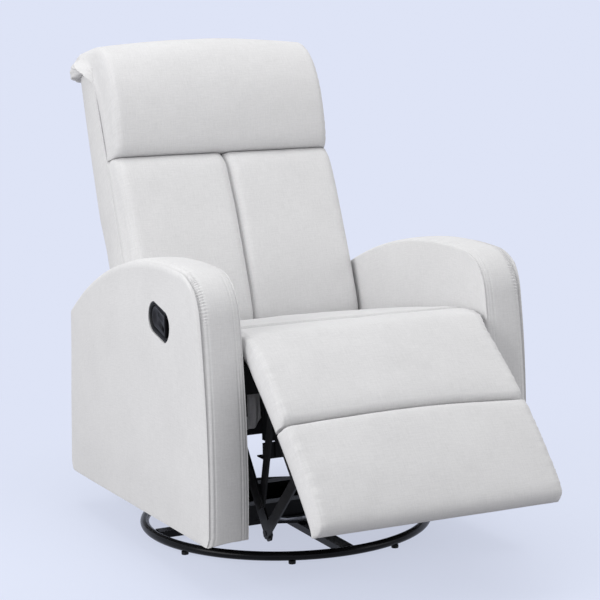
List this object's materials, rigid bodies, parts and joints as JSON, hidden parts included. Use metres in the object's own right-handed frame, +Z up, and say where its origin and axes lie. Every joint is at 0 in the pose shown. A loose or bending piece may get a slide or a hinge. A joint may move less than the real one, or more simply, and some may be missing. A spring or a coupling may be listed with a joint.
{
  "type": "swivel glider recliner",
  "caption": "Upholstered swivel glider recliner with raised footrest, reclining back, release lever and ring base.",
  "frame": {"origin": "on the floor, under the middle of the chair's bounding box; the swivel axis stands 78.7 mm behind it", "axes": "+Z up, the chair faces -Y, and +X is on the right of someone who looks at its front, so the release lever is in the arm at -X"},
  "size_m": [0.718, 1.2615, 1.0437],
  "materials": {
    "upholstery": "light grey linen-look weave, piped seams",
    "arm_upholstery": "light grey linen-look weave over thin padding, double topstitched",
    "frame_wood": "sawn hardwood and plywood, unfinished",
    "base_paint": "gloss black paint",
    "mechanism_paint": "satin black paint",
    "plain_steel": "plain rolled steel",
    "foot_rubber": "matt black rubber",
    "lever_plastic": "moulded, fine grained",
    "paddle_plastic": "moulded, satin with a bright front edge",
    "webbing": "woven elastic webbing",
    "lining_cloth": "thin grey lining cloth"
  },
  "bodies": {
    "base": {"base_ring": "base_paint", "base_cross_legs": "base_paint", "base_feet": "foot_rubber", "hub_plate": "base_paint", "bearing_lower_race": "plain_steel", "king_pin": "plain_steel"},
    "swivel": {"bearing_upper_race": "plain_steel", "turntable_plate": "mechanism_paint", "base_cross_channels": "mechanism_paint", "base_side_channels": "mechanism_paint", "glider_uprights": "mechanism_paint"},
    "front_glide_links": {"front_glide_links": "mechanism_paint"},
    "rear_glide_links": {"rear_glide_links": "mechanism_paint"},
    "carriage": {"left_side_plate": "mechanism_paint", "right_side_plate": "mechanism_paint", "glide_hangers": "mechanism_paint", "carriage_cross_tube": "mechanism_paint", "front_cross_bar": "mechanism_paint", "seat_side_rails": "frame_wood", "seat_front_rail": "frame_wood", "seat_rear_rail": "frame_wood", "seat_springs": "plain_steel", "seat_cushion": "upholstery", "seat_front_pad": "upholstery", "seat_apron": "lining_cloth", "rear_tie_board": "frame_wood", "lever_bezel": "lever_plastic", "lever_cup": "lever_plastic", "fold_hinge_fixed_leaf": "plain_steel", "left_arm_outer_panel": "arm_upholstery", "left_arm_inner_panel": "arm_upholstery", "left_arm_band": "arm_upholstery", "left_arm_posts": "frame_wood", "left_arm_rails": "frame_wood", "right_arm_outer_panel": "arm_upholstery", "right_arm_inner_panel": "arm_upholstery", "right_arm_band": "arm_upholstery", "right_arm_posts": "frame_wood", "right_arm_rails": "frame_wood"},
    "back": {"back_posts": "frame_wood", "back_rails": "frame_wood", "back_webbing": "webbing", "back_brackets": "mechanism_paint", "back_outer_shell": "upholstery", "back_cushion": "upholstery", "head_cushion": "upholstery"},
    "footrest": {"calf_board": "frame_wood", "foot_board": "frame_wood", "calf_pad": "upholstery", "foot_pad": "upholstery", "footrest_brackets": "mechanism_paint", "footrest_cross_tube": "mechanism_paint", "fold_hinge_moving_leaf": "plain_steel"},
    "rear_ottoman_links": {"rear_ottoman_links": "mechanism_paint", "drive_tube": "mechanism_paint"},
    "lower_ottoman_bars": {"lower_ottoman_bars": "mechanism_paint"},
    "front_ottoman_links": {"front_ottoman_links": "mechanism_paint"},
    "upper_ottoman_bars": {"upper_ottoman_bars": "mechanism_paint"},
    "release_paddle": {"release_paddle": "paddle_plastic"}
  },
  "joints": [
    {"name": "swivel_turn", "type": "hinge", "parent": "base", "child": "swivel", "pos_m": [0, 0.0787, 0], "axis": [0, 0, 1], "continuous": true},
    {"name": "glide", "type": "hinge", "parent": "swivel", "child": "front_glide_links", "pos_m": [0, -0.0413, 0.19], "axis": [1, 0, 0], "range_deg": [-18, 18]},
    {"name": "carriage_hang", "type": "hinge", "parent": "front_glide_links", "child": "carriage", "pos_m": [0, -0.0413, 0.075], "axis": [1, 0, 0], "range_deg": [-18, 18]},
    {"name": "rear_glide", "type": "hinge", "parent": "swivel", "child": "rear_glide_links", "pos_m": [0, 0.1987, 0.19], "axis": [1, 0, 0], "range_deg": [-18, 18]},
    {"name": "recline", "type": "hinge", "parent": "carriage", "child": "back", "pos_m": [0, 0.2687, 0.33], "axis": [-1, 0, 0], "range_deg": [0, 33]},
    {"name": "footrest_fold", "type": "hinge", "parent": "carriage", "child": "footrest", "pos_m": [0, -0.3013, 0.447], "axis": [-1, 0, 0], "range_deg": [-44.3, 36.2]},
    {"name": "rear_link", "type": "hinge", "parent": "carriage", "child": "rear_ottoman_links", "pos_m": [0, -0.14919, 0.3002], "axis": [-1, 0, 0], "range_deg": [-44.3, 36.2]},
    {"name": "lower_bar", "type": "hinge", "parent": "rear_ottoman_links", "child": "lower_ottoman_bars", "pos_m": [0, -0.3143, 0.105], "axis": [-1, 0, 0], "range_deg": [-36.2, 44.3]},
    {"name": "front_link", "type": "hinge", "parent": "carriage", "child": "front_ottoman_links", "pos_m": [0, -0.2513, 0.27], "axis": [-1, 0, 0], "range_deg": [-44.3, 36.2]},
    {"name": "upper_bar", "type": "hinge", "parent": "front_ottoman_links", "child": "upper_ottoman_bars", "pos_m": [0, -0.32619, 0.17156], "axis": [-1, 0, 0], "range_deg": [-36.2, 44.3]},
    {"name": "paddle_pull", "type": "hinge", "parent": "carriage", "child": "release_paddle", "pos_m": [-0.349, -0.1093, 0.5146], "axis": [0, 0, -1], "range_deg": [0, 30], "stiffness_Nm_per_rad": 0.6}
  ],
  "couplings": [
    {"joint": "carriage_hang", "follows": "glide", "ratio": -1},
    {"joint": "rear_glide", "follows": "glide", "ratio": 1},
    {"joint": "rear_link", "follows": "footrest_fold", "ratio": 1},
    {"joint": "lower_bar", "follows": "footrest_fold", "ratio": -1},
    {"joint": "front_link", "follows": "footrest_fold", "ratio": 1},
    {"joint": "upper_bar", "follows": "footrest_fold", "ratio": -1}
  ]
}
